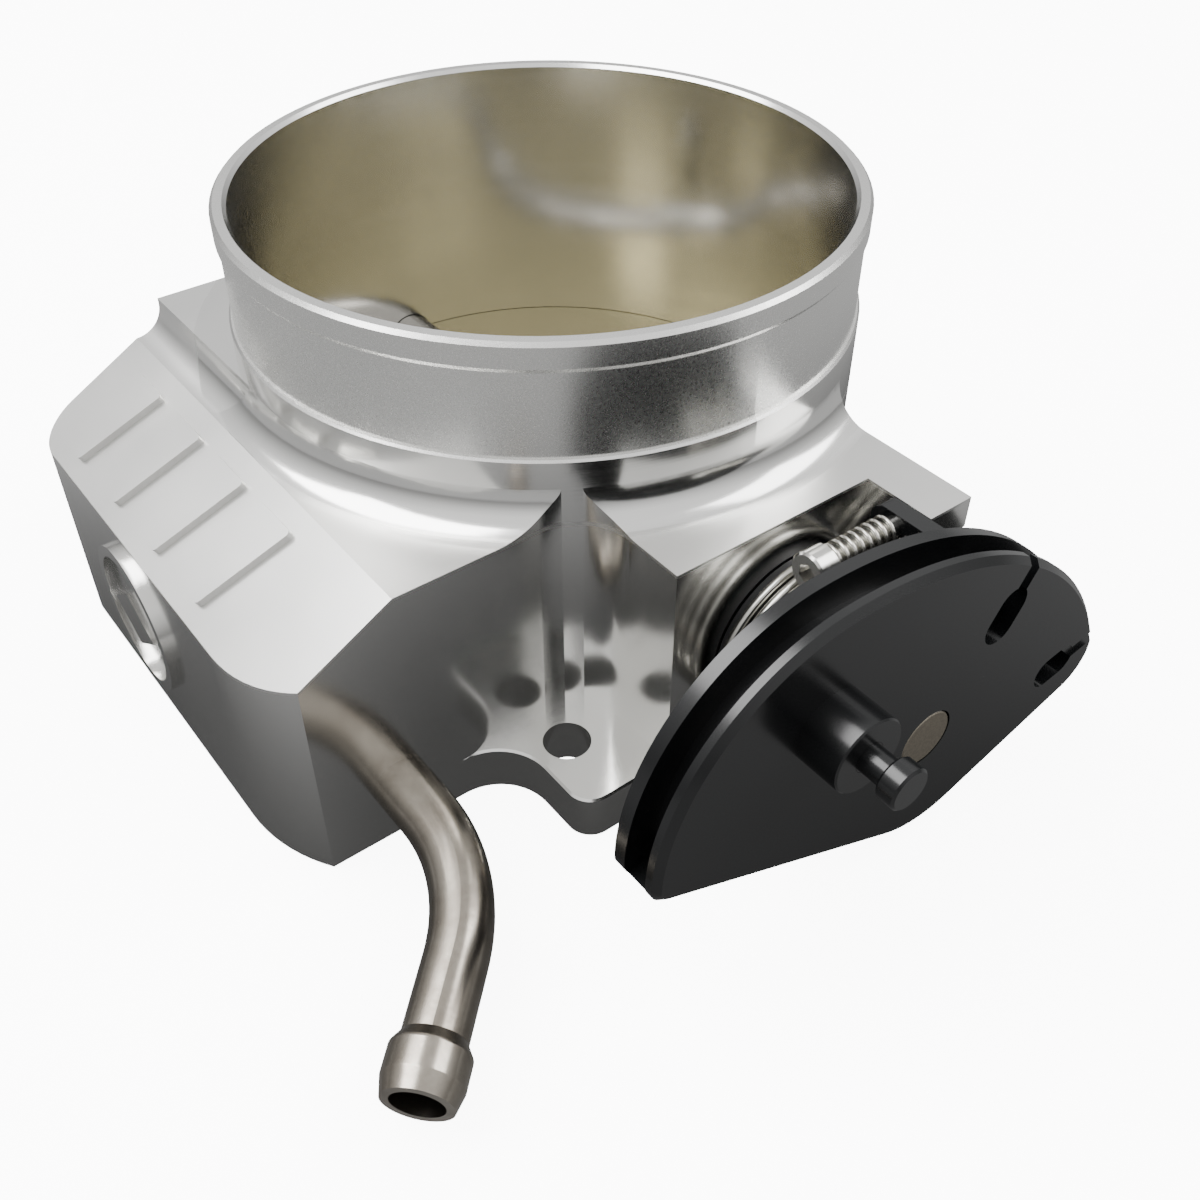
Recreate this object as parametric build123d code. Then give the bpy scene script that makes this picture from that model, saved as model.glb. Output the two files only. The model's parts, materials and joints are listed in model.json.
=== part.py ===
"""Cable-driven throttle body: billet housing, butterfly plate on a cross shaft, cable cam, return
spring, idle stop and vacuum tube. Millimetres. The origin is on the bore axis in the plane of the
manifold flange face, +Z runs up the bore to the air inlet, +X runs out along the shaft to the cam."""

from build123d import *
from math import acos, atan, cos, degrees, pi, radians, sin
import os

# Bore and neck
BORE_R = 51.0
HEIGHT = 78.0
RIM_R = 53.7
RIM_LAND = 4.0
NECK_R = 53.2
LEDGE_Z = 59.0
BAND_R = 53.9
ROOT_FILLET = 6.3
RIM_CHAMFER = 0.6

# Housing block
TOP_Z = 47.7
PAD_Z = 53.9
BLOCK_X = 44.2
FRONT_Y = -80.0
PAD_Y = -53.3
BACK_R = 58.0
FRONT_FLAT_X = 27.0
FRONT_CORNER_Y = -74.6
FRONT_SMALL_R = 7.5
SLANT_Y = -58.6
SLANT_SLOPE = 0.55
BOSS_X = 64.5
BOSS_Y = 23.9
RELIEF_R = 9.5
LUG_X = 77.4
LUG_Y0 = 14.8
LUG_Z0 = 34.0
EDGE = 0.35
RELIEF_H = 1.2
BADGE_X = -8.0
BADGE_Z = 18.5
BADGE_R = 13.5

# Manifold flange
FLANGE_T = 8.5
EAR_Y = 40.4
EAR_R = 4.2
EAR_SWEEP_R = 9.5
BOLT_X = 51.2
BOLT_Y = 34.1
BOLT_R = 4.0

# Shaft line
SHAFT_Z = 24.3
SHAFT_R = 5.0
SHAFT_START = -72.0
CAM_FACE_X = 94.8
PLATE_R = 50.85
PLATE_T = 2.9
PLATE_SLOT = 3.0
SCREW_X = 22.0
BEARING_R = 7.0
BEARING_X0 = 52.5
BEARING_LENGTH = 10.0
SEAL_T = 1.8

# Cable cam, in the shaft's own Y and Z
CAM_T = 8.6
CAM_LEFT_Y = -19.9
CAM_LEFT_Z = 4.1
CAM_LEFT_R = 32.0
CAM_RIGHT_R = 66.0
CAM_JOIN = 92.4
CAM_BEVEL = 1.0
FRONT_FLANGE_T = 2.2
REAR_FLANGE_T = 2.1
GROOVE_DEPTH = 5.0
HUB_R = 9.5
HUB_X0 = 80.6
POST_Y = -22.9
POST_Z = 17.8
POST_R = 6.0
POST_END_X = 101.9
STUD_NECK_R = 2.2
STUD_HEAD_R = 3.3
STUD_HEAD_X = 105.8
STUD_END_X = 109.0

# Return spring, angles measured from the shaft's Y towards Z
COIL_R = 16.2
COIL_WIRE = 0.9
COIL_X0 = 66.9
COIL_BEND_R = 2.0
COIL_PITCH = 2.15
COIL_TURNS = 4
COIL_ANGLE_0 = 215.0
COIL_ANGLE_1 = COIL_ANGLE_0 - 360 * COIL_TURNS % 360
BUSH_R = 15.0

# Idle stop
STOP_X = 73.5
STOP_Z = 21.0
STOP_HEAD_Y = -6.8
STOP_HEAD_R = 3.45
STOP_HEAD_L = 4.0
STOP_R = 2.0
STOP_TIP_Y = 14.75
ARM_X0 = 69.3
ARM_Y0 = 10.8
ARM_Y1 = 14.0
ARM_Z0 = 15.5
ARM_Z1 = 24.0

# Vacuum tube
TUBE_R = 4.76
TUBE_BORE_R = 3.9
TUBE_Y = -61.2
TUBE_Z = 10.9
TUBE_SOCKET = 11.0
TUBE_RUN = 7.7
TUBE_BEND_R = 32.5
TUBE_BEND = 47.6
TUBE_TAIL = 20.2
TUBE_DROP = 8.0
BEAD_R = 5.9

# Idle air valve seat and throttle position sensor face on the side away from the cam
IDLE_Y = -64.0
IDLE_Z = 24.0
IDLE_BORE_R = 10.0
IDLE_SCREW_Z = 14.5
SENSOR_HOLE_Y = 16.0
SENSOR_SCREW_R = 1.65


def block(x0, x1, y0, y1, z0, z1):
    """Box between two corners."""
    return Pos((x0 + x1) / 2, (y0 + y1) / 2, (z0 + z1) / 2) * Box(x1 - x0, y1 - y0, z1 - z0)


def rod(start, end, radius):
    """Cylinder from one point to another."""
    a, b = Vector(*start), Vector(*end)
    return Plane(origin=a, z_dir=b - a) * Cylinder(radius, (b - a).length, align=(Align.CENTER, Align.CENTER, Align.MIN))


def along_x(x0, x1, radius, y=0.0, z=0.0):
    """Cylinder along the shaft direction; y and z are measured from the shaft axis."""
    return rod((x0, y, SHAFT_Z + z), (x1, y, SHAFT_Z + z), radius)


def ring_x(x0, x1, outer, inner):
    """Ring around the shaft axis."""
    return along_x(x0, x1, outer) - along_x(x0 - 1, x1 + 1, inner)


def neck():
    """Turned neck: hose land at the rim, ledge, band and the concave root that runs into the top face."""
    root_z = TOP_Z + ROOT_FILLET
    root_r = BAND_R + ROOT_FILLET
    arc_r = root_r - ROOT_FILLET * sin(pi / 4)
    arc_z = root_z - ROOT_FILLET * cos(pi / 4)
    land_z = HEIGHT - RIM_LAND
    outer = Polyline((53.0, 0), (53.0, TOP_Z - 2), (root_r, TOP_Z - 2), (root_r, TOP_Z))
    root = ThreePointArc((root_r, TOP_Z), (arc_r, arc_z), (BAND_R, root_z))
    upper = Polyline(
        (BAND_R, root_z), (BAND_R, LEDGE_Z - EDGE), (BAND_R - EDGE, LEDGE_Z), (NECK_R, LEDGE_Z),
        (NECK_R, land_z - 0.8), (RIM_R, land_z), (RIM_R, HEIGHT - RIM_CHAMFER),
        (RIM_R - RIM_CHAMFER, HEIGHT), (20, HEIGHT), (20, 0), (53.0, 0),
    )
    profile = make_face(Curve() + [outer, root, upper])
    return revolve(Plane.XZ * profile, Axis.Z)


def relief(side):
    """Bolt access cut in a front corner, with a large round inner corner."""
    reach = 60.0
    shape = Rectangle(reach, reach, align=(Align.MIN, Align.MIN))
    shape = fillet(shape.vertices().sort_by_distance((0, 0, 0))[0], RELIEF_R)
    solid = Pos(BLOCK_X, BOSS_Y, FLANGE_T) * extrude(shape, TOP_Z + ROOT_FILLET + 1.0 - FLANGE_T)
    solid -= Pos(0, 0, HEIGHT / 2) * Cylinder(BAND_R, HEIGHT)
    solid = mirror(solid, Plane.XZ)
    return solid if side > 0 else mirror(solid, Plane.YZ)


def back_relief():
    """Cut behind the bosses that leaves the round wall of the bore standing on the flange."""
    solid = block(-80, 80, BOSS_Y, 90, FLANGE_T, TOP_Z + ROOT_FILLET + 1.0)
    return solid - Pos(0, 0, HEIGHT / 2) * Cylinder(BAND_R, HEIGHT)


def ear(sx, sy):
    """One flange ear: round outer corner, and a concave sweep back to the block's side."""
    shape = Pos(0, 0) * Rectangle(BOSS_X, EAR_Y, align=(Align.MIN, Align.MIN))
    corner = shape.vertices().sort_by_distance((BOSS_X, EAR_Y, 0))[0]
    shape = fillet(corner, EAR_R)
    if sy < 0:
        web = Pos(BLOCK_X, EAR_Y) * Rectangle(EAR_SWEEP_R, EAR_SWEEP_R, align=(Align.MIN, Align.MIN))
        shape += web - Pos(BLOCK_X + EAR_SWEEP_R, EAR_Y + EAR_SWEEP_R) * Circle(EAR_SWEEP_R)
    solid = extrude(shape, FLANGE_T)
    solid = chamfer(solid.faces().sort_by(Axis.Z)[-1].edges().filter_by(lambda e: e.center().X > BLOCK_X), EDGE)
    if sx < 0:
        solid = mirror(solid, Plane.YZ)
    if sy < 0:
        solid = mirror(solid, Plane.XZ)
    return solid


def front_block():
    """Block on the front side: flat front, one large-radius end and one small round corner."""
    front = Line((FRONT_FLAT_X, FRONT_Y), (-BLOCK_X, FRONT_Y))
    right = TangentArc((FRONT_FLAT_X, FRONT_Y), (BLOCK_X, FRONT_CORNER_Y), tangent=(1, 0))
    back = Polyline((-BLOCK_X, FRONT_Y), (-BLOCK_X, 0), (BLOCK_X, 0), (BLOCK_X, FRONT_CORNER_Y))
    face = make_face(Curve() + [front, right, back])
    corner = face.vertices().sort_by_distance((-BLOCK_X, FRONT_Y, 0))[0]
    return extrude(fillet(corner, FRONT_SMALL_R), TOP_Z)


def slant_cut():
    """Wedge above the slanted face."""
    far = -100.0
    drop = (SLANT_Y - far) * SLANT_SLOPE
    wedge = Polyline((SLANT_Y, TOP_Z), (far, TOP_Z - drop), (far, HEIGHT), (SLANT_Y, HEIGHT), close=True)
    return extrude(Plane.YZ * make_face(wedge), 80, both=True)


def raised_pad():
    """Higher half on the sensor side, with a cove down to the slanted face."""
    cove_r = PAD_Y - SLANT_Y
    pad = block(-BLOCK_X, 0, SLANT_Y, 40, TOP_Z - 1, PAD_Z)
    pad -= block(-BLOCK_X - 1, 1, SLANT_Y - 1, PAD_Y, TOP_Z + cove_r, PAD_Z + 1)
    return pad - rod((-60, SLANT_Y, TOP_Z + cove_r), (10, SLANT_Y, TOP_Z + cove_r), cove_r)


def decoration():
    """Plain raised decoration: slanted bars on the slanted face, a ring and a lozenge on the front."""
    angle = atan(SLANT_SLOPE)
    mid_y = (SLANT_Y + FRONT_Y) / 2
    mid_z = TOP_Z - (SLANT_Y - mid_y) * SLANT_SLOPE
    slant = Plane(origin=(0, mid_y, mid_z), x_dir=(1, 0, 0), z_dir=(0, -sin(angle), cos(angle)))
    pieces = []
    for i in range(4):
        x = -34.5 + 15.5 * i
        bar = make_face(Polyline((x - 4, -9), (x + 6, -9), (x + 9.5, 8.5), (x - 0.5, 8.5), close=True))
        bar = fillet(bar.vertices(), 0.8)
        pieces.append(extrude(slant * bar, RELIEF_H))
    front = Plane(origin=(BADGE_X, FRONT_Y, BADGE_Z), x_dir=(1, 0, 0), z_dir=(0, -1, 0))
    ring = Circle(BADGE_R) - Circle(BADGE_R - 2)
    lozenge = make_face(Polyline((-8, 0), (0, -5.5), (8, 0), (0, 5.5), close=True))
    pieces.append(extrude(front * ring, RELIEF_H))
    pieces.append(extrude(front * lozenge, RELIEF_H))
    return pieces


def housing():
    """Billet aluminium housing with its bore, bolt holes, bearing seats and air passages."""
    body = front_block()
    body += Pos(0, 0, TOP_Z / 2) * Cylinder(BAND_R, TOP_Z)
    body += Pos(0, 0, FLANGE_T / 2) * Cylinder(BACK_R, FLANGE_T)
    body += block(-BOSS_X, BOSS_X, -BOSS_Y - 20, BOSS_Y + 20, FLANGE_T, TOP_Z)
    body += block(-BOSS_X, BOSS_X, -BOSS_Y, BOSS_Y, 0, TOP_Z)
    body += raised_pad()
    body += neck()
    for cut in (relief(1), relief(-1), back_relief(), slant_cut()):
        body -= cut
    for sx in (-1, 1):
        for sy in (-1, 1):
            body += ear(sx, sy)
    lug = block(BOSS_X - 5, LUG_X, LUG_Y0, BOSS_Y, LUG_Z0, TOP_Z)
    lug = chamfer(lug.edges().filter_by(Axis.Y).sort_by(lambda e: e.center().X - e.center().Z)[-1:], 8.0)
    body += lug
    body -= rod((0, 0, -1), (0, 0, HEIGHT + 1), BORE_R)
    body -= Pos(0, 0, HEIGHT - RIM_CHAMFER) * Cone(BORE_R, BORE_R + 2 * RIM_CHAMFER, 2 * RIM_CHAMFER, align=(Align.CENTER, Align.CENTER, Align.MIN))
    for sx in (-1, 1):
        for sy in (-1, 1):
            body -= rod((sx * BOLT_X, sy * BOLT_Y, -1), (sx * BOLT_X, sy * BOLT_Y, FLANGE_T + 1), BOLT_R)
    body -= along_x(-BOSS_X - 1, BOSS_X + 1, SHAFT_R + 0.15)
    for sx in (-1, 1):
        body -= along_x(sx * BEARING_X0, sx * (BOSS_X + 1), BEARING_R)
    for sy in (-1, 1):
        body -= along_x(-BOSS_X - 1, -BOSS_X + 10, SENSOR_SCREW_R, y=sy * SENSOR_HOLE_Y)
    body -= rod((BLOCK_X + 1, TUBE_Y, TUBE_Z), (BLOCK_X - TUBE_SOCKET, TUBE_Y, TUBE_Z), TUBE_R)
    body -= rod((BLOCK_X - TUBE_SOCKET + 2, TUBE_Y, TUBE_Z), (20, -44, TUBE_Z), 3.2)
    body -= rod((-BLOCK_X - 1, IDLE_Y, IDLE_Z), (-20, IDLE_Y, IDLE_Z), IDLE_BORE_R)
    body -= rod((-21, IDLE_Y, IDLE_Z), (2, IDLE_Y, IDLE_Z), 5.0)
    body -= rod((-30, IDLE_Y, IDLE_Z + 8), (-30, -38, IDLE_Z + 8), 4.5)
    body -= rod((-3, IDLE_Y, IDLE_Z - 6), (-3, -45, IDLE_Z - 6), 4.0)
    for z in (IDLE_Z - IDLE_SCREW_Z, IDLE_Z + IDLE_SCREW_Z):
        body -= rod((-BLOCK_X - 1, IDLE_Y, z), (-BLOCK_X + 10, IDLE_Y, z), SENSOR_SCREW_R)
    body -= spring_hole(False, BOSS_X - 6, BOSS_X + 1)
    for piece in decoration():
        body += piece
    return body


def throttle_plate():
    """Round brass butterfly, closed square across the bore, with clearance holes for its screws."""
    plate = Pos(0, 0, SHAFT_Z) * Cylinder(PLATE_R, PLATE_T)
    for sx in (-1, 1):
        plate -= rod((sx * SCREW_X, 0, 0), (sx * SCREW_X, 0, 50), 2.0)
    return plate


def throttle_shaft():
    """Ten millimetre shaft, slotted for the plate, with a D end that drives the position sensor."""
    shaft = along_x(SHAFT_START, CAM_FACE_X, SHAFT_R)
    shaft = chamfer(shaft.edges().filter_by(GeomType.CIRCLE), 0.3)
    shaft -= block(-PLATE_R - 0.05, PLATE_R + 0.05, -8, 8, SHAFT_Z - PLATE_SLOT / 2, SHAFT_Z + PLATE_SLOT / 2)
    shaft -= block(SHAFT_START - 1, SHAFT_START + 7, -8, 8, SHAFT_Z + 3.8, SHAFT_Z + 8)
    for sx in (-1, 1):
        shaft -= rod((sx * SCREW_X, 0, SHAFT_Z - 8), (sx * SCREW_X, 0, SHAFT_Z + 8), 2.0)
        shaft -= rod((sx * SCREW_X, 0, SHAFT_Z + 3.2), (sx * SCREW_X, 0, SHAFT_Z + 8), 3.9)
    groove = ring_x(-66.6, -65.5, 6.0, 4.3)
    return shaft - groove


def plate_screws():
    """Two pan-head screws through shaft and plate."""
    screws = []
    for sx in (-1, 1):
        x = sx * SCREW_X
        screw = rod((x, 0, SHAFT_Z - 4.6), (x, 0, SHAFT_Z + 3.3), 1.95)
        head = rod((x, 0, SHAFT_Z + 3.2), (x, 0, SHAFT_Z + 5.4), 3.6)
        head = fillet(head.edges().sort_by(Axis.Z)[-1], 0.9)
        recess = Pos(x, 0, SHAFT_Z + 5.4) * Box(4.2, 0.9, 2.0) + Pos(x, 0, SHAFT_Z + 5.4) * Box(0.9, 4.2, 2.0)
        screws.append(screw + head - recess)
    return Compound(children=screws)


def bearing_cup(side):
    """Drawn cup of a needle bearing, lipped in at both ends."""
    x0 = BEARING_X0 + 0.02
    x1 = BEARING_X0 + BEARING_LENGTH
    cup = ring_x(x0, x1, BEARING_R, BEARING_R - 0.7)
    cup += ring_x(x0, x0 + 0.8, BEARING_R, SHAFT_R + 0.35)
    cup += ring_x(x1 - 0.8, x1, BEARING_R, SHAFT_R + 0.35)
    return cup if side > 0 else mirror(cup, Plane.YZ)


def needles(side):
    """Needle rollers round the shaft."""
    count = 18
    radius = 0.6
    pitch = SHAFT_R + 0.03 + radius
    rollers = []
    for i in range(count):
        a = 2 * pi * i / count
        roller = along_x(BEARING_X0 + 1.2, BEARING_X0 + BEARING_LENGTH - 1.2, radius, y=pitch * cos(a), z=pitch * sin(a))
        rollers.append(roller if side > 0 else mirror(roller, Plane.YZ))
    return Compound(children=rollers)


def shaft_seal(side):
    """Rubber seal pressed in outside the bearing."""
    x0 = BEARING_X0 + BEARING_LENGTH + 0.05
    seal = ring_x(x0, x0 + SEAL_T, BEARING_R, SHAFT_R + 0.04)
    seal -= ring_x(x0 + 0.7, x0 + SEAL_T + 1, BEARING_R - 0.9, SHAFT_R + 0.7)
    return seal if side > 0 else mirror(seal, Plane.YZ)


def retaining_ring():
    """External ring in the shaft's groove outside the sensor-side boss."""
    ring = ring_x(-66.5, -65.6, 7.2, 4.35)
    return ring - block(-70, -60, -1.6, 1.6, SHAFT_Z + 2, SHAFT_Z + 9)


def thrust_washer(x0, x1):
    """Flat washer on the shaft."""
    return ring_x(x0, x1, 8.0, SHAFT_R + 0.1)


def spring_bush():
    """Plastic spool inside the return spring: sleeve, web and inner ring."""
    x0 = BOSS_X + 0.25
    x1 = HUB_X0 - 0.25
    sleeve = ring_x(x0, x1, BUSH_R, BUSH_R - 1.8)
    web = ring_x((x0 + x1) / 2 - 1.2, (x0 + x1) / 2 + 1.2, BUSH_R - 1.5, SHAFT_R + 0.1)
    inner = ring_x(x0, x1, SHAFT_R + 2.3, SHAFT_R + 0.1)
    return sleeve + web + inner


def spring_end(last):
    """Start, direction, middle and end of the bend that turns one end of the return spring along the shaft."""
    a = radians(COIL_ANGLE_1 if last else COIL_ANGLE_0)
    side = 1 if last else -1
    x = COIL_X0 + (COIL_PITCH * COIL_TURNS if last else 0)
    start = Vector(x, COIL_R * cos(a), SHAFT_Z + COIL_R * sin(a))
    tangent = Vector(COIL_PITCH / (2 * pi), COIL_R * sin(a), -COIL_R * cos(a)).normalized() * side
    axis = Vector(side, 0, 0)
    turn = acos(axis.dot(tangent))
    inward = (axis - tangent * axis.dot(tangent)).normalized()
    centre = start + inward * COIL_BEND_R
    points = []
    for part in (0.5, 1.0):
        across = inward * (COIL_BEND_R * cos(turn * part))
        along = tangent * (COIL_BEND_R * sin(turn * part))
        points.append(centre - across + along)
    return start, tangent, points[0], points[1]


def spring_leg(last, x):
    """Bend and straight leg at one end of the return spring, as far as x."""
    start, tangent, middle, end = spring_end(last)
    section = Plane(origin=start, z_dir=tangent) * Circle(COIL_WIRE)
    bend = sweep(section, path=ThreePointArc(start, middle, end))
    return [bend, rod(end, (x, end.Y, end.Z), COIL_WIRE)]


def spring_hole(last, x0, x1):
    """Hole along the shaft direction for one leg of the return spring."""
    end = spring_end(last)[3]
    return rod((x0, end.Y, end.Z), (x1, end.Y, end.Z), COIL_WIRE + 0.15)


def coil_wire(pitch, turns, radius, wire):
    """Round wire wound left-handed along +Z from (radius, 0, 0)."""
    line = Helix(pitch=pitch, height=pitch * turns, radius=radius, lefthand=True)
    section = Plane(origin=line @ 0, z_dir=line % 0) * Circle(wire)
    return sweep(section, path=line, is_frenet=True)


def return_spring():
    """Torsion spring round the shaft, one leg in the housing's boss and one in the cam's rear face."""
    coil = coil_wire(COIL_PITCH, COIL_TURNS, COIL_R, COIL_WIRE)
    coil = Pos(COIL_X0, 0, SHAFT_Z) * Rot(0, 90, 0) * Rot(0, 0, 90 + COIL_ANGLE_0) * coil
    legs = spring_leg(False, BOSS_X - 5.5) + spring_leg(True, CAM_FACE_X - CAM_T + 3.5)
    return Compound(children=[coil] + legs)


def arc_point(centre, radius, angle):
    """Point on a circle at an angle in degrees."""
    return (centre[0] + radius * cos(radians(angle)), centre[1] + radius * sin(radians(angle)))


def cam_outline(inset=0.0):
    """Cable cam outline in the shaft's Y and Z: two tangent arcs above, two straight sides below."""
    left_r = CAM_LEFT_R - inset
    right_r = CAM_RIGHT_R - inset
    left_c = (CAM_LEFT_Y, CAM_LEFT_Z)
    join = arc_point(left_c, CAM_LEFT_R, CAM_JOIN)
    right_c = arc_point(join, -CAM_RIGHT_R, CAM_JOIN)
    left_end = arc_point(left_c, left_r, 183.5)
    right_end = arc_point(right_c, right_r, 18.3)
    join = arc_point(left_c, left_r, CAM_JOIN)
    left = ThreePointArc(left_end, arc_point(left_c, left_r, 140), join)
    right = ThreePointArc(join, arc_point(right_c, right_r, 55), right_end)
    vertex = (2.4, -23.2)
    face = make_face(Curve() + [left, right, Line(right_end, vertex), Line(vertex, left_end)])
    if inset:
        return face
    for point, radius in ((left_end, 3.2), (right_end, 8.0), (vertex, 20.0)):
        corner = face.vertices().sort_by_distance((point[0], point[1], 0))[0]
        face = fillet(corner, radius)
    return face


def cam_plane(x):
    """Plane square to the shaft at x, with the shaft's Y to the right and Z up."""
    return Plane(origin=(x, 0, SHAFT_Z), x_dir=(0, 1, 0), z_dir=(1, 0, 0))


def keyhole(y0, z0, y1, z1, hole_r, slot_w):
    """Slot from the edge into a long hole that takes a cable end; first point is at the edge."""
    a, b = Vector(y0, z0), Vector(y1, z1)
    d = (b - a).normalized()
    n = Vector(-d.Y, d.X)
    slot = make_face(Polyline(a - d * 4 + n * slot_w / 2, b + n * slot_w / 2, b - n * slot_w / 2, a - d * 4 - n * slot_w / 2, close=True))
    ends = [b - d * 1.2, b + d * 2.2]
    hole = Pos(*ends[0]) * Circle(hole_r) + Pos(*ends[1]) * Circle(hole_r)
    hole += make_face(Polyline(ends[0] + n * hole_r, ends[1] + n * hole_r, ends[1] - n * hole_r, ends[0] - n * hole_r, close=True))
    return slot, hole


def throttle_cam():
    """Black anodised cable cam with its groove, cable pockets, hub and idle stop arm."""
    outline = cam_outline()
    rear_x = CAM_FACE_X - CAM_T
    cam = extrude(cam_plane(rear_x) * outline, CAM_T)
    cam = chamfer(cam.faces().sort_by(Axis.X)[-1].edges(), CAM_BEVEL)
    above = make_face(Polyline((-70, 0.0), (-40, 3.5), (14, 12), (33, -4.0), (70, -4.0), (60, 60), (-70, 60), close=True))
    groove = (offset(outline, 1.0) - cam_outline(GROOVE_DEPTH)) & above
    cam -= extrude(cam_plane(rear_x + REAR_FLANGE_T) * groove, CAM_T - FRONT_FLANGE_T - REAR_FLANGE_T)
    for key in (keyhole(17.6, 26.0, 13.0, 17.9, 3.2, 2.6), keyhole(40.6, -1.8, 31.6, -3.4, 2.9, 2.3)):
        cam -= extrude(cam_plane(rear_x + REAR_FLANGE_T) * key[0], 10)
        cam -= extrude(cam_plane(rear_x + 1.2) * key[1], 10)
    cam += along_x(HUB_X0, rear_x + 0.5, HUB_R)
    arm = block(ARM_X0, rear_x + 1.0, ARM_Y0, ARM_Y1, SHAFT_Z + ARM_Z0, SHAFT_Z + ARM_Z1)
    arm = fillet(arm.edges().filter_by(Axis.Y).sort_by(lambda e: e.center().Z - e.center().X)[-1], 2.5)
    cam += arm
    cam -= rod((STOP_X, ARM_Y0 - 1, SHAFT_Z + STOP_Z), (STOP_X, ARM_Y1 + 1, SHAFT_Z + STOP_Z), STOP_R + 0.03)
    cam -= along_x(HUB_X0 - 1, CAM_FACE_X + 1, SHAFT_R + 0.12)
    cam -= along_x(rear_x - 1, CAM_FACE_X + 1, 2.45, y=POST_Y, z=POST_Z)
    cam -= spring_hole(True, rear_x - 1, rear_x + 4)
    for angle in (0, 90):
        cam -= Pos(HUB_X0 + 3.0, 0, SHAFT_Z) * Rot(angle + 180, 0, 0) * rod((0, 0, 0), (0, 0, 12), 1.5)
    return cam


def cam_grub_screws():
    """Two socket set screws that lock the cam's hub to the shaft."""
    screws = []
    for angle in (0, 90):
        screw = rod((0, 0, SHAFT_R + 0.03), (0, 0, HUB_R - 0.6), 1.45)
        socket = extrude(Plane(origin=(0, 0, HUB_R - 0.6), z_dir=(0, 0, 1)) * RegularPolygon(0.8, 6), -1.6)
        screws.append(Pos(HUB_X0 + 3.0, 0, SHAFT_Z) * Rot(angle + 180, 0, 0) * (screw - socket))
    return Compound(children=screws)


def linkage_spacer():
    """Round spacer on the cam face."""
    spacer = along_x(CAM_FACE_X, POST_END_X, POST_R, y=POST_Y, z=POST_Z)
    spacer = chamfer(spacer.edges().filter_by(GeomType.CIRCLE).sort_by(Axis.X)[-1], 0.25)
    return spacer - along_x(CAM_FACE_X - 1, POST_END_X + 1, 2.45, y=POST_Y, z=POST_Z)


def linkage_stud():
    """Headed stud through the spacer into the cam, for a cruise or kickdown cable."""
    shank = along_x(CAM_FACE_X - 6, POST_END_X, 2.4, y=POST_Y, z=POST_Z)
    neck_part = along_x(POST_END_X - 0.5, STUD_HEAD_X + 0.5, STUD_NECK_R, y=POST_Y, z=POST_Z)
    head = along_x(STUD_HEAD_X, STUD_END_X, STUD_HEAD_R, y=POST_Y, z=POST_Z)
    head = chamfer(head.edges().filter_by(GeomType.CIRCLE), 0.35)
    return shank + neck_part + head


def idle_stop_screw():
    """Socket-head screw in the cam's arm; its tip meets the housing's lug when the throttle is closed."""
    z = SHAFT_Z + STOP_Z
    head = rod((STOP_X, STOP_HEAD_Y, z), (STOP_X, STOP_HEAD_Y + STOP_HEAD_L, z), STOP_HEAD_R)
    head = chamfer(head.edges().filter_by(GeomType.CIRCLE), 0.35)
    shank = rod((STOP_X, STOP_HEAD_Y + STOP_HEAD_L - 0.5, z), (STOP_X, STOP_TIP_Y, z), STOP_R)
    socket = extrude(Plane(origin=(STOP_X, STOP_HEAD_Y, z), z_dir=(0, -1, 0)) * RegularPolygon(1.75, 6), -2.4)
    return head + shank - socket


def idle_screw_spring():
    """Compression spring between the stop screw's head and the arm."""
    wire = 0.36
    radius = STOP_R + wire + 0.15
    length = ARM_Y0 - (STOP_HEAD_Y + STOP_HEAD_L) - 2 * wire - 0.1
    turns = 8
    coil = coil_wire(length / turns, turns, radius, wire)
    y0 = STOP_HEAD_Y + STOP_HEAD_L + wire + 0.05
    return Pos(STOP_X, y0, SHAFT_Z + STOP_Z) * Rot(-90, 0, 0) * coil


def vacuum_tube():
    """Bent steel tube pressed into the block, with a hose bead at its end."""
    drop = radians(TUBE_DROP)
    start = Vector(BLOCK_X - TUBE_SOCKET + 0.5, TUBE_Y, TUBE_Z)
    plane = Plane(origin=start, x_dir=(1, 0, 0), z_dir=(0, sin(drop), -cos(drop)))
    run = TUBE_RUN + TUBE_SOCKET - 0.5
    bend = radians(TUBE_BEND)
    bx = run + TUBE_BEND_R * sin(bend)
    by = TUBE_BEND_R * (1 - cos(bend))
    end = (bx + TUBE_TAIL * cos(bend), by + TUBE_TAIL * sin(bend))
    mid = (run + TUBE_BEND_R * sin(bend / 2), TUBE_BEND_R * (1 - cos(bend / 2)))
    path = Curve() + [Line((0, 0), (run, 0)), ThreePointArc((run, 0), mid, (bx, by)), Line((bx, by), end)]
    path = plane * path
    mouth = Plane(origin=start, z_dir=(1, 0, 0))
    outer = sweep(mouth * Circle(TUBE_R - 0.01), path=path)
    inner = sweep(mouth * Circle(TUBE_BORE_R), path=path)
    tail = (plane * Line((bx, by), end))
    tip = Plane(origin=tail @ 1, z_dir=(tail % 1))
    bead = Polyline(
        (TUBE_BORE_R, -9), (TUBE_R - 0.1, -9), (BEAD_R, -7.0), (BEAD_R, -2.8), (BEAD_R - 0.7, 0), (TUBE_BORE_R, 0), close=True
    )
    bead = fillet(make_face(bead).vertices().filter_by(lambda v: v.X > BEAD_R - 0.1), 0.9)
    bead = revolve(Plane(origin=tip.origin, x_dir=tip.x_dir, z_dir=tip.x_dir.cross(tip.z_dir)) * bead, Axis(tip.origin, tip.z_dir))
    return outer + bead - inner


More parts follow.
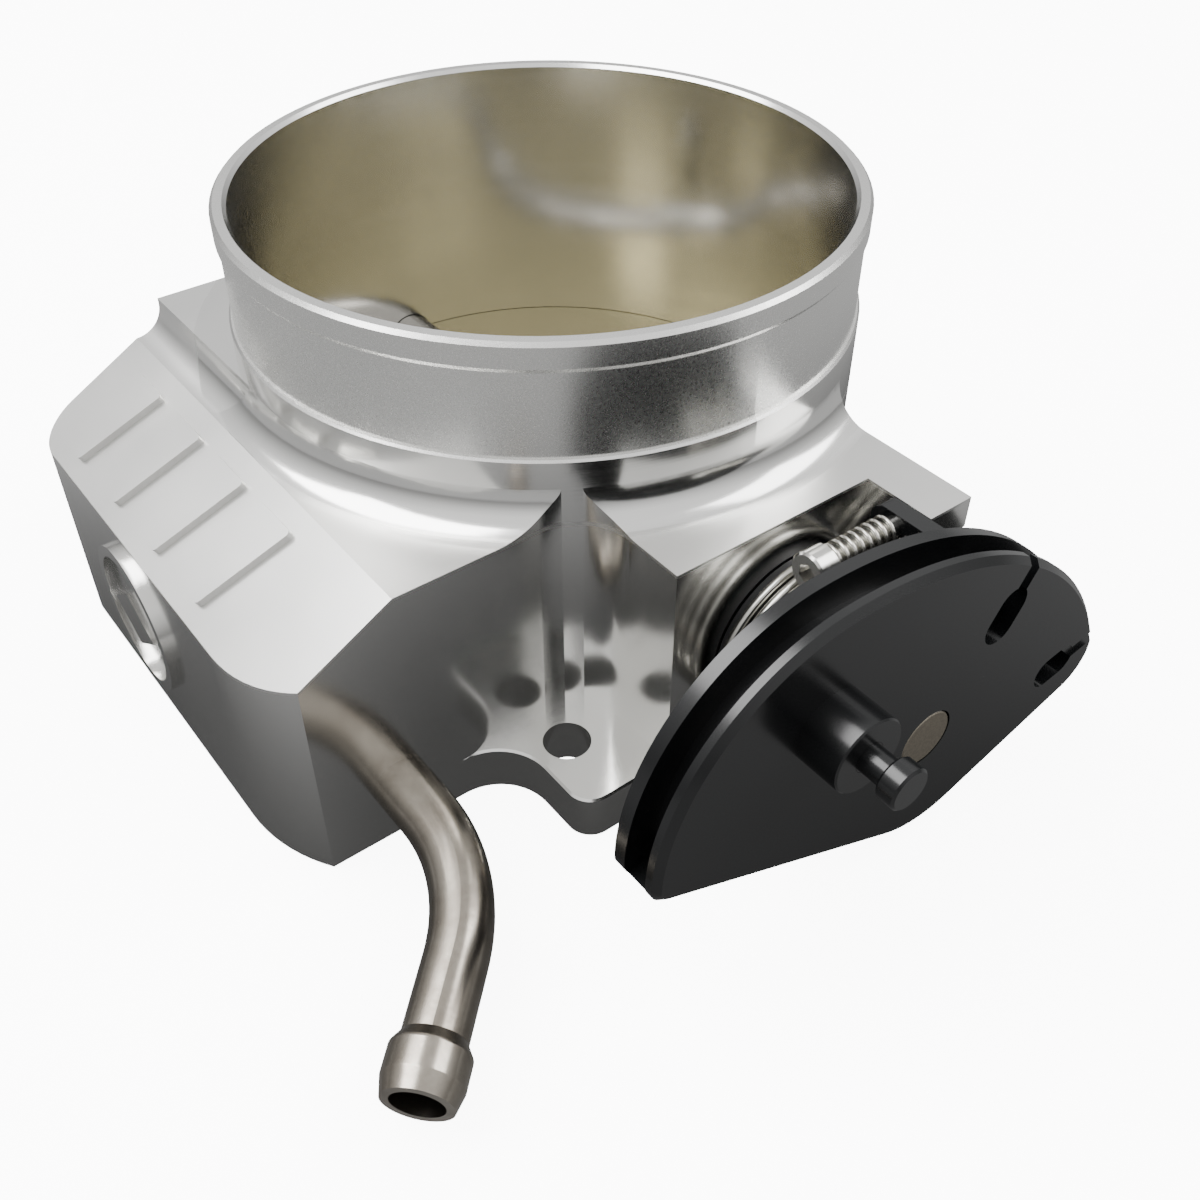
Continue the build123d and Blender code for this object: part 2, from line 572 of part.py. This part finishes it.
PARTS = {
    "throttle_body": housing,
    "throttle_plate": throttle_plate,
    "plate_screws": plate_screws,
    "throttle_shaft": throttle_shaft,
    "needle_bearing_cam_side": lambda: bearing_cup(1),
    "needle_bearing_sensor_side": lambda: bearing_cup(-1),
    "needle_rollers_cam_side": lambda: needles(1),
    "needle_rollers_sensor_side": lambda: needles(-1),
    "shaft_seal_cam_side": lambda: shaft_seal(1),
    "shaft_seal_sensor_side": lambda: shaft_seal(-1),
    "shaft_retaining_ring": retaining_ring,
    "thrust_washer_sensor_side": lambda: thrust_washer(-65.5, -64.6),
    "return_spring": return_spring,
    "spring_bush": spring_bush,
    "throttle_cam": throttle_cam,
    "cam_grub_screws": cam_grub_screws,
    "linkage_spacer": linkage_spacer,
    "linkage_stud": linkage_stud,
    "idle_stop_screw": idle_stop_screw,
    "idle_screw_spring": idle_screw_spring,
    "vacuum_tube": vacuum_tube,
}

os.makedirs("parts", exist_ok=True)
for name, make in PARTS.items():
    export_step(make(), f"parts/{name}.step")
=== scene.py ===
import json
import math

import bpy
import numpy as np
from mathutils import Matrix, Vector


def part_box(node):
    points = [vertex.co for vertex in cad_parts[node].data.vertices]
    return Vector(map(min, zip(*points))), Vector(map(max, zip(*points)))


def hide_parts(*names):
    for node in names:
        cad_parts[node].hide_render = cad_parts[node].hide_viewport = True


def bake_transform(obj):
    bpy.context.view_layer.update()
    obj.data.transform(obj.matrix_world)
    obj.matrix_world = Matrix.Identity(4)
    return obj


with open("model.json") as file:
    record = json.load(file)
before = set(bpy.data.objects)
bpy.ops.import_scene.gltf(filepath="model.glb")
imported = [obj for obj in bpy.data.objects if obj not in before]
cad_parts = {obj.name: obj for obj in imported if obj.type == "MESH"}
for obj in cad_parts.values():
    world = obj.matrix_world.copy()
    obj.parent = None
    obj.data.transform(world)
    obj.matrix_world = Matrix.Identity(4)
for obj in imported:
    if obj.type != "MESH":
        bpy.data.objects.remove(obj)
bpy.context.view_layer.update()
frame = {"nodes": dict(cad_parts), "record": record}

MM = 0.001
CAMERA_PLACE = Vector((169.66, -119.12, 168.35)) * MM
CAMERA_BACK = Vector((0.5921, -0.4583, 0.6629))
CAMERA_ROLL = 0.316
CAMERA_LENS = 39.34
CAMERA_SENSOR = 36.0
SHEET_HALF = 3.0
FLOOR_Z = -0.0003
CARD_Z = -0.0008
# Where one machined finish of the housing ends and the next begins.
NECK_WALL_R = 51.6 * MM
TURNED_R = 60.6 * MM
FLAT_Z = 47.9 * MM
LEDGE_Z = 58.6 * MM
TOP_Z = 47.7 * MM
FACED_Z = 47.2 * MM
FACE_SKIN = 0.5 * MM
SLANT_Y = -58.6 * MM
SLANT_SLOPE = 0.55
EDGE = 0.2 * MM
SHAFT_Z = 24.3 * MM
CAM_FACE_X = 94.8 * MM
COIL_R = 16.2 * MM
COIL_WIRE_R = 0.9 * MM
COIL_X = 66.9 * MM
COIL_PITCH = 2.15 * MM
COIL_TURNS = 4
COIL_STEPS = 60
COIL_ANGLE = 215.0
COIL_BEND_R = 2.0 * MM
SPRING_LEG_HOUSING = 59.0 * MM
SPRING_LEG_CAM = 89.7 * MM
LEG_STEPS = 8
STOP_WIRE_R = 0.36 * MM
STOP_TURNS = 8
STOP_STEPS = 420


def add_camera():
    """Camera near the inlet's front right, looking down into the bore at about 42 degrees."""
    back = CAMERA_BACK.normalized()
    level = Vector((0, 0, 1)).cross(back).normalized()
    upright = back.cross(level)
    roll = math.radians(CAMERA_ROLL)
    right = level * math.cos(roll) + upright * math.sin(roll)
    up = upright * math.cos(roll) - level * math.sin(roll)
    data = bpy.data.cameras.new("camera")
    data.sensor_width = CAMERA_SENSOR
    data.lens = CAMERA_LENS
    data.clip_start = 0.01
    data.clip_end = 20.0
    camera = bpy.data.objects.new("camera", data)
    camera.matrix_world = Matrix((right, up, back)).transposed().to_4x4()
    camera.matrix_world.translation = CAMERA_PLACE
    bpy.context.scene.collection.objects.link(camera)
    bpy.context.scene.camera = camera


def linear(hex_colour):
    """Linear RGBA of an sRGB hex colour."""
    parts = [int(hex_colour[i : i + 2], 16) / 255 for i in (0, 2, 4)]
    return tuple(c / 12.92 if c <= 0.04045 else ((c + 0.055) / 1.055) ** 2.4 for c in parts) + (1.0,)


def add(tree, kind, links=None, **settings):
    """Adds a node. links maps input name or index to a socket or a value; settings are properties."""
    made = tree.nodes.new(kind)
    for key, value in settings.items():
        setattr(made, key, value)
    for key, value in (links or {}).items():
        if isinstance(value, bpy.types.NodeSocket):
            tree.links.new(value, made.inputs[key])
        else:
            made.inputs[key].default_value = value
    return made


def new_material(name, colour, metallic, roughness):
    """Principled material with its constant values; returns material, tree and shader node."""
    material = bpy.data.materials.new(name)
    material.use_nodes = True
    tree = material.node_tree
    shader = tree.nodes["Principled BSDF"]
    shader.inputs["Base Color"].default_value = linear(colour)
    shader.inputs["Metallic"].default_value = metallic
    shader.inputs["Roughness"].default_value = roughness
    return material, tree, shader


def math_node(tree, operation, a, b=0.0, clamp=False):
    """One number from two by a maths operation."""
    return add(tree, "ShaderNodeMath", {0: a, 1: b}, operation=operation, use_clamp=clamp).outputs[0]


def step(tree, value, edge, width):
    """0 below the edge, 1 above it, turning over a width in metres."""
    return add(
        tree, "ShaderNodeMapRange",
        {
            "Value": value,
            "From Min": edge - width / 2,
            "From Max": edge + width / 2,
            "To Min": 0.0,
            "To Max": 1.0,
        },
        clamp=True,
    ).outputs["Result"]


def mix(tree, factor, a, b):
    """Number a at factor 0 and b at factor 1."""
    return add(tree, "ShaderNodeMix", {0: factor, 2: a, 3: b}, data_type="FLOAT").outputs[0]


def mix_colour(tree, factor, a, b):
    """Colour a at factor 0 and b at factor 1."""
    return add(tree, "ShaderNodeMix", {0: factor, 6: a, 7: b}, data_type="RGBA").outputs[2]


def object_point(tree):
    """Object coordinates in metres, and their X, Y and Z."""
    point = add(tree, "ShaderNodeTexCoord").outputs["Object"]
    split = add(tree, "ShaderNodeSeparateXYZ", {0: point})
    return point, split.outputs[0], split.outputs[1], split.outputs[2]


def noise(tree, vector, per_metre, detail=2.0, rough=0.5):
    """Noise with features of 1/per_metre metres along each direction; per_metre is one number or three."""
    if not isinstance(per_metre, (int, float)):
        stretched = add(tree, "ShaderNodeVectorMath", {0: vector, 1: per_metre}, operation="MULTIPLY")
        vector = stretched.outputs[0]
        per_metre = 1.0
    return add(
        tree, "ShaderNodeTexNoise",
        {"Vector": vector, "Scale": per_metre, "Detail": detail, "Roughness": rough},
    ).outputs["Fac"]


def faced_mask(tree, y, z):
    """1 on the top and the slant, which face up and are cut by the end of the mill, 0 on the walls."""
    slant = math_node(tree, "MULTIPLY", math_node(tree, "SUBTRACT", y, SLANT_Y), SLANT_SLOPE)
    under_top = math_node(tree, "SUBTRACT", math_node(tree, "ADD", slant, TOP_Z), z)
    on_slant = math_node(tree, "SUBTRACT", 1.0, step(tree, under_top, FACE_SKIN, EDGE))
    on_top = step(tree, z, FACED_Z, EDGE)
    return math_node(tree, "MAXIMUM", on_slant, on_top)


def machined_aluminium():
    """Machined aluminium with no coating: turned neck and bore, milled block."""
    material, tree, shader = new_material("machined_aluminium", "e2e2e0", 1.0, 0.25)
    point, x, y, z = object_point(tree)
    flat = add(tree, "ShaderNodeCombineXYZ", {0: x, 1: y, 2: 0.0}).outputs[0]
    radius = add(tree, "ShaderNodeVectorMath", {0: flat}, operation="LENGTH").outputs["Value"]
    outside = step(tree, radius, NECK_WALL_R, EDGE)
    near_axis = math_node(tree, "SUBTRACT", 1.0, step(tree, radius, TURNED_R, 2 * EDGE))
    above_flat = step(tree, z, FLAT_Z, EDGE)
    turned = math_node(tree, "MULTIPLY", near_axis, above_flat)
    above_ledge = math_node(tree, "MULTIPLY", step(tree, z, LEDGE_Z, EDGE), outside)
    faced = faced_mask(tree, y, z)
    # Turned marks run round the axis: fast along Z and along the radius, none round it.
    ring_point = add(tree, "ShaderNodeCombineXYZ", {0: radius, 1: z, 2: 0.0}).outputs[0]
    rings = noise(tree, ring_point, 2600.0, 2.0, 0.6)
    tool_lines = noise(tree, ring_point, 1500.0, 3.0, 0.7)
    grain = noise(tree, point, 2600.0, 3.0, 0.7)
    patches = noise(tree, point, 45.0, 3.0, 0.5)
    mill = noise(tree, point, (700.0, 130.0, 130.0), 3.0, 0.6)
    rough_bore = mix(tree, tool_lines, 0.13, 0.21)
    rough_neck = mix(tree, grain, 0.2, 0.36)
    rough_band = mix(tree, rings, 0.1, 0.22)
    rough_wall = mix(tree, mill, 0.12, 0.2)
    rough_face = mix(tree, patches, 0.26, 0.38)
    rough = mix(tree, faced, rough_wall, rough_face)
    rough = mix(tree, turned, rough, rough_band)
    rough = mix(tree, above_ledge, rough, rough_neck)
    rough = mix(tree, outside, rough_bore, rough)
    tree.links.new(rough, shader.inputs["Roughness"])
    height = mix(tree, turned, mill, rings)
    height = mix(tree, above_ledge, height, grain)
    height = mix(tree, outside, tool_lines, height)
    depth = mix(tree, above_ledge, 0.07, 0.16)
    depth = mix(tree, outside, 0.06, depth)
    made = add(tree, "ShaderNodeBump", {"Height": height, "Strength": depth, "Distance": 0.03 * MM})
    tree.links.new(made.outputs["Normal"], shader.inputs["Normal"])
    tone = mix_colour(tree, patches, linear("dcdcda"), linear("ecebe8"))
    tree.links.new(tone, shader.inputs["Base Color"])
    return material


def black_anodised():
    """Hard black anodised aluminium with a satin sheen."""
    material, tree, shader = new_material("black_anodised", "0d0e0f", 0.0, 0.3)
    point = object_point(tree)[0]
    cloud = noise(tree, point, 60.0, 3.0, 0.5)
    tree.links.new(mix(tree, cloud, 0.18, 0.26), shader.inputs["Roughness"])
    return material


def bright_steel(name, colour, low, high):
    """Steel with a fine uneven polish."""
    material, tree, shader = new_material(name, colour, 1.0, (low + high) / 2)
    polish = noise(tree, object_point(tree)[0], 900.0, 3.0, 0.6)
    tree.links.new(mix(tree, polish, low, high), shader.inputs["Roughness"])
    return material


def tube_stainless():
    """Bent stainless tube with brownish heat and handling marks."""
    material, tree, shader = new_material("tube_stainless", "8d867b", 1.0, 0.25)
    blotch = noise(tree, object_point(tree)[0], 160.0, 4.0, 0.65)
    tone = mix_colour(tree, blotch, linear("6a6056"), linear("b9b3a8"))
    tree.links.new(tone, shader.inputs["Base Color"])
    tree.links.new(mix(tree, blotch, 0.32, 0.16), shader.inputs["Roughness"])
    return material


def plate_brass():
    """Rolled brass plate."""
    material, tree, shader = new_material("plate_brass", "aaa078", 1.0, 0.2)
    rolling = noise(tree, object_point(tree)[0], (80.0, 900.0, 80.0), 3.0, 0.6)
    tree.links.new(mix(tree, rolling, 0.14, 0.3), shader.inputs["Roughness"])
    return material


def shaft_steel():
    """Ground shaft with a dull, dark sawn end outside the cam."""
    material, tree, shader = new_material("shaft_steel", "8a8781", 1.0, 0.2)
    point, x = object_point(tree)[:2]
    end = step(tree, x, CAM_FACE_X - 0.15 * MM, 0.1 * MM)
    speck = noise(tree, point, 3000.0, 2.0, 0.7)
    dull = mix_colour(tree, speck, linear("6c665b"), linear("a39b8c"))
    tree.links.new(mix_colour(tree, end, linear("a5a29c"), dull), shader.inputs["Base Color"])
    tree.links.new(mix(tree, end, 0.16, 0.5), shader.inputs["Roughness"])
    return material


def plain(name, colour, metallic, roughness):
    """Even finish with no pattern."""
    return new_material(name, colour, metallic, roughness)[0]


def assign(node, material):
    """Gives every slot of a CAD node one material."""
    mesh = frame["nodes"][node].data
    for index in range(len(mesh.materials)):
        mesh.materials[index] = material


def add_light(name, place, target, size, power):
    """Rectangular area light aimed at a point; metres and watts."""
    data = bpy.data.lights.new(name, "AREA")
    data.shape = "RECTANGLE"
    data.size, data.size_y = size
    data.energy = power
    light = bpy.data.objects.new(name, data)
    direction = Vector(target) - Vector(place)
    light.rotation_euler = direction.to_track_quat("-Z", "Y").to_euler()
    light.location = place
    bpy.context.scene.collection.objects.link(light)


def level_sheet(name, height):
    """Flat square sheet at a height, with no material yet."""
    edge = SHEET_HALF
    corners = [(-edge, -edge, height), (edge, -edge, height), (edge, edge, height), (-edge, edge, height)]
    mesh = bpy.data.meshes.new(name)
    mesh.from_pydata(corners, [], [(0, 1, 2, 3)])
    sheet = bpy.data.objects.new(name, mesh)
    bpy.context.scene.collection.objects.link(sheet)
    return sheet


def add_painted_shadow_card():
    """Glowing card that only reflections see, with a painted shadow: dark close to the object where its
    shadow on a table would fall, lighter further out.
    """
    card = level_sheet("painted_shadow_card", CARD_Z)
    card.visible_camera = False
    card.visible_shadow = False
    card.visible_diffuse = False
    material, tree, shader = new_material("painted_shadow_card", "000000", 0.0, 1.0)
    point = object_point(tree)[0]
    distance = add(tree, "ShaderNodeVectorMath", {0: point}, operation="LENGTH").outputs["Value"]
    # Painted shadow seen in reflections: the glow is dim near the object and brighter further out.
    glow = add(
        tree, "ShaderNodeMapRange",
        {"Value": distance, "From Min": 0.07, "From Max": 0.17, "To Min": 0.07, "To Max": 0.5},
        interpolation_type="SMOOTHSTEP",
    ).outputs["Result"]
    shader.inputs["Emission Color"].default_value = (1, 1, 1, 1)
    tree.links.new(glow, shader.inputs["Emission Strength"])
    card.data.materials.append(material)


def add_floor():
    """Plain pale floor that reflections and bounced light don't see."""
    floor = level_sheet("floor", FLOOR_Z)
    material, tree, shader = new_material("floor", "fafafa", 0.0, 0.9)
    shader.inputs["Emission Color"].default_value = (1, 1, 1, 1)
    shader.inputs["Emission Strength"].default_value = 9.0
    floor.data.materials.append(material)
    floor.visible_glossy = False
    floor.visible_diffuse = False


def add_world(below, level, above):
    """Studio surround by height: below is straight down, level the horizon, above straight up."""
    world = bpy.data.worlds.new("studio")
    world.use_nodes = True
    tree = world.node_tree
    direction = add(tree, "ShaderNodeTexCoord").outputs["Generated"]
    split = add(tree, "ShaderNodeSeparateXYZ", {0: direction})
    height = add(
        tree, "ShaderNodeMapRange", {"Value": split.outputs[2], "From Min": -1.0, "From Max": 1.0}
    ).outputs["Result"]
    ramp = add(tree, "ShaderNodeValToRGB", {"Fac": height})
    stops = ramp.color_ramp.elements
    stops[0].position, stops[0].color = 0.1, (below, below, below, 1)
    stops[1].position, stops[1].color = 0.82, (above, above, above, 1)
    middle = stops.new(0.5)
    middle.color = (level, level, level, 1)
    tree.links.new(ramp.outputs["Color"], tree.nodes["Background"].inputs["Color"])
    bpy.context.scene.world = world


def wire_mesh(name, path, radius, sides=14):
    """Closed round wire along a path of points: ring i holds path[i] + radius (u cos a + v sin a),
    where u and v are square to the path and turn with it."""
    path = np.asarray(path, float)
    tangent = np.gradient(path, axis=0)
    tangent /= np.linalg.norm(tangent, axis=1)[:, None]
    # Any direction that is not along the path gives the first u.
    u = np.cross(tangent[0], (0.3, 0.5, 0.8))
    frames = []
    for t in tangent:
        u = u - t * np.dot(u, t)
        u /= np.linalg.norm(u)
        frames.append((u, np.cross(t, u)))
    frames = np.array(frames)
    angle = np.linspace(0, 2 * np.pi, sides, endpoint=False)
    cos, sin = np.cos(angle)[None, :, None], np.sin(angle)[None, :, None]
    ring = frames[:, None, 0] * cos + frames[:, None, 1] * sin
    points = (path[:, None] + radius * ring).reshape(-1, 3)
    count = len(path)
    i, j = np.meshgrid(np.arange(count - 1), np.arange(sides), indexing="ij")
    k = (j + 1) % sides
    this, following = i * sides, (i + 1) * sides
    quads = np.stack([this + j, this + k, following + k, following + j], -1).reshape(-1, 4)
    caps = [tuple(range(sides - 1, -1, -1)), tuple(range((count - 1) * sides, count * sides))]
    mesh = bpy.data.meshes.new(name)
    mesh.from_pydata(points.tolist(), [], quads.tolist() + caps)
    mesh.polygons.foreach_set("use_smooth", np.ones(len(mesh.polygons), bool))
    made = bpy.data.objects.new(name, mesh)
    bpy.context.scene.collection.objects.link(made)
    return made


def bend_path(start, tangent, axis, radius, steps=8):
    """Arc of a radius from start, heading along tangent, until it heads along axis."""
    inward = axis - tangent * np.dot(axis, tangent)
    inward /= np.linalg.norm(inward)
    turn = np.arccos(np.dot(axis, tangent))
    a = np.linspace(0, turn, steps)[1:, None]
    return start + inward * radius - inward * radius * np.cos(a) + tangent * radius * np.sin(a)


def return_spring_path():
    """Leg in the housing, bend, left-hand helix about the shaft, bend and leg in the cam, in metres."""
    first = math.radians(COIL_ANGLE)
    t = np.linspace(0, COIL_TURNS, COIL_STEPS * COIL_TURNS)
    a = first - 2 * np.pi * t
    coil = np.stack([COIL_X + COIL_PITCH * t, COIL_R * np.cos(a), SHAFT_Z + COIL_R * np.sin(a)], 1)
    ends = []
    for side, point, angle in ((-1, coil[0], a[0]), (1, coil[-1], a[-1])):
        advance = COIL_PITCH / (2 * np.pi)
        tangent = np.array([advance, COIL_R * np.sin(angle), -COIL_R * np.cos(angle)]) * side
        tangent /= np.linalg.norm(tangent)
        bend = bend_path(point, tangent, np.array([side, 0.0, 0.0]), COIL_BEND_R)
        stop = SPRING_LEG_HOUSING if side < 0 else SPRING_LEG_CAM
        x = np.linspace(bend[-1, 0], stop, LEG_STEPS)[1:]
        leg = np.stack([x, np.full_like(x, bend[-1, 1]), np.full_like(x, bend[-1, 2])], 1)
        ends.append(np.concatenate([bend, leg]))
    return np.concatenate([ends[0][::-1], coil, ends[1]])


def add_return_spring(material):
    """Torsion spring whose coils twist between the housing and the cam."""
    spring_piece = wire_mesh("return_spring_wire", return_spring_path(), COIL_WIRE_R)
    spring_piece.data.materials.append(material)
    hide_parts("return_spring")
    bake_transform(spring_piece)


def add_stop_spring(material):
    """Compression spring that stretches between the arm and the stop screw's head."""
    low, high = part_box("idle_screw_spring")
    centre = [(low[k] + high[k]) / 2 for k in range(3)]
    radius = (high[0] - low[0]) / 2 - STOP_WIRE_R
    t = np.linspace(0, 1, STOP_STEPS)
    a = 2 * np.pi * STOP_TURNS * t
    y = low[1] + STOP_WIRE_R + (high[1] - low[1] - 2 * STOP_WIRE_R) * t
    path = np.stack([centre[0] + radius * np.cos(a), y, centre[2] + radius * np.sin(a)], 1)
    spring_piece = wire_mesh("stop_spring_wire", path, STOP_WIRE_R, 12)
    spring_piece.data.materials.append(material)
    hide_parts("idle_screw_spring")
    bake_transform(spring_piece)


add_camera()
add_world(0.42, 0.25, 1.25)
add_floor()
add_painted_shadow_card()
add_light("key", (-0.25, -0.35, 0.8), (0, 0, 0.03), (0.6, 0.6), 12.0)
add_light("rim", (0.3, 0.6, 0.7), (0, 0, 0.03), (0.5, 0.5), 5.0)

steel = bright_steel("bright_steel", "d0cfcb", 0.12, 0.26)
spring = bright_steel("spring_wire", "bdbbb5", 0.14, 0.28)
black = black_anodised()
FINISHES = {
    "machined_aluminium": machined_aluminium(),
    "plate_brass": plate_brass(),
    "screw_steel": steel,
    "shaft_steel": shaft_steel(),
    "bearing_steel": steel,
    "seal_rubber": plain("seal_rubber", "18181a", 0.0, 0.7),
    "washer_nylon": plain("washer_nylon", "1a1a1b", 0.0, 0.45),
    "spring_steel": spring,
    "cam_black": black,
    "screw_black": black,
    "tube_steel": tube_stainless(),
}
for part in frame["record"]["subparts"]:
    assign(part["node"], FINISHES[part["material_slot"]])

add_return_spring(spring)
add_stop_spring(spring)
